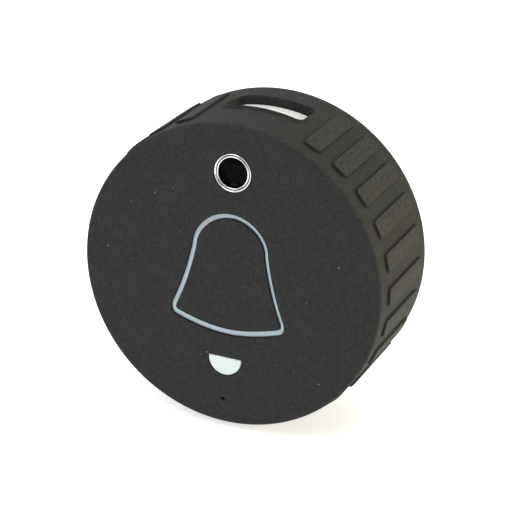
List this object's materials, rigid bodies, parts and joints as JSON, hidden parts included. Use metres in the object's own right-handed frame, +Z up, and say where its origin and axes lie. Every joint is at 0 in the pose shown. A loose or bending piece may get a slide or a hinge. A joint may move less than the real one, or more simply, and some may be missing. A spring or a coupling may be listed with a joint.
{
  "type": "video doorbell",
  "caption": "Round wall-mounted battery video doorbell with a ribbed rubber sleeve, ringed lens, bell-shaped key and half-moon window.",
  "frame": {"origin": "centre of the adhesive pad's face, in the wall's plane", "axes": "+Y into the wall, +Z up, +X to the right when looking at the face"},
  "size_m": [0.0715, 0.029, 0.071],
  "materials": {
    "rubber": "matte silicone rubber with a dusty surface",
    "black_plastic": "satin moulded plastic",
    "white_plastic": "milky diffusing plastic",
    "light_guide": "pale blue-grey light guide",
    "chrome_ring": "bright plated ring",
    "steel": "plain steel",
    "grille": "bright perforated sheet",
    "brass": "spring brass",
    "board": "solder mask",
    "foam": "closed-cell foam with adhesive",
    "glass": "coated lens glass",
    "sensor": "dark sensor",
    "cell_jacket": "printed sleeve without lettering"
  },
  "bodies": {
    "wall_side": {"adhesive_pad": "foam", "wall_plate": "black_plastic"},
    "unit": {"silicone_sleeve": "rubber", "front_housing": "black_plastic", "rear_cover": "black_plastic", "seal_ring": "rubber", "speaker_grille": "grille", "speaker_driver": "black_plastic", "main_board": "board", "processor_shield": "steel", "wifi_module": "steel", "antenna": "board", "status_led": "white_plastic", "lens_holder": "black_plastic", "image_sensor": "sensor", "lens_barrel": "black_plastic", "lens_glass": "glass", "lens_ring": "chrome_ring", "switch_body": "black_plastic", "bell_light_guide": "light_guide", "status_window": "white_plastic", "mic_boot": "rubber", "microphone": "steel", "battery_tray": "black_plastic", "contact_plate_top": "brass", "contact_plate_bottom": "brass", "power_switch_body": "black_plastic", "reset_switch_body": "black_plastic", "board_screw_left": "steel", "board_screw_right": "steel", "cover_screw_1": "steel", "bell_led_1": "white_plastic", "cover_screw_2": "steel", "bell_led_2": "white_plastic", "cover_screw_3": "steel", "bell_led_3": "white_plastic", "cover_screw_4": "steel", "bell_led_4": "white_plastic", "contact_spring_1": "steel", "contact_spring_2": "steel", "contact_spring_3": "steel", "cell_left": "cell_jacket", "cell_middle": "cell_jacket", "cell_right": "cell_jacket"},
    "bell_key": {"key_skin": "rubber", "key_plunger": "black_plastic"},
    "switch_actuator": {"switch_actuator": "white_plastic"},
    "reset_button": {"reset_button": "white_plastic"},
    "power_knob": {"power_switch_knob": "white_plastic"}
  },
  "joints": [
    {"name": "unit_twist", "type": "hinge", "parent": "wall_side", "child": "unit", "pos_m": [0, 0, 0], "axis": [0, 1, 0], "range_deg": [0, 30]},
    {"name": "bell_press", "type": "slide", "parent": "unit", "child": "bell_key", "axis": [0, 1, 0], "range_m": [0, 0.0005], "stiffness_N_per_m": 3000, "springref_m": -0.0003},
    {"name": "switch_press", "type": "slide", "parent": "unit", "child": "switch_actuator", "axis": [0, 1, 0], "range_m": [0, 0.0005]},
    {"name": "reset_press", "type": "slide", "parent": "unit", "child": "reset_button", "axis": [0, -1, 0], "range_m": [0, 0.0005], "stiffness_N_per_m": 500, "springref_m": -0.0003},
    {"name": "power_slide", "type": "slide", "parent": "unit", "child": "power_knob", "axis": [0, 0, 1], "range_m": [0, 0.002]}
  ],
  "couplings": [
    {"joint": "switch_press", "follows": "bell_press", "ratio": 1}
  ]
}
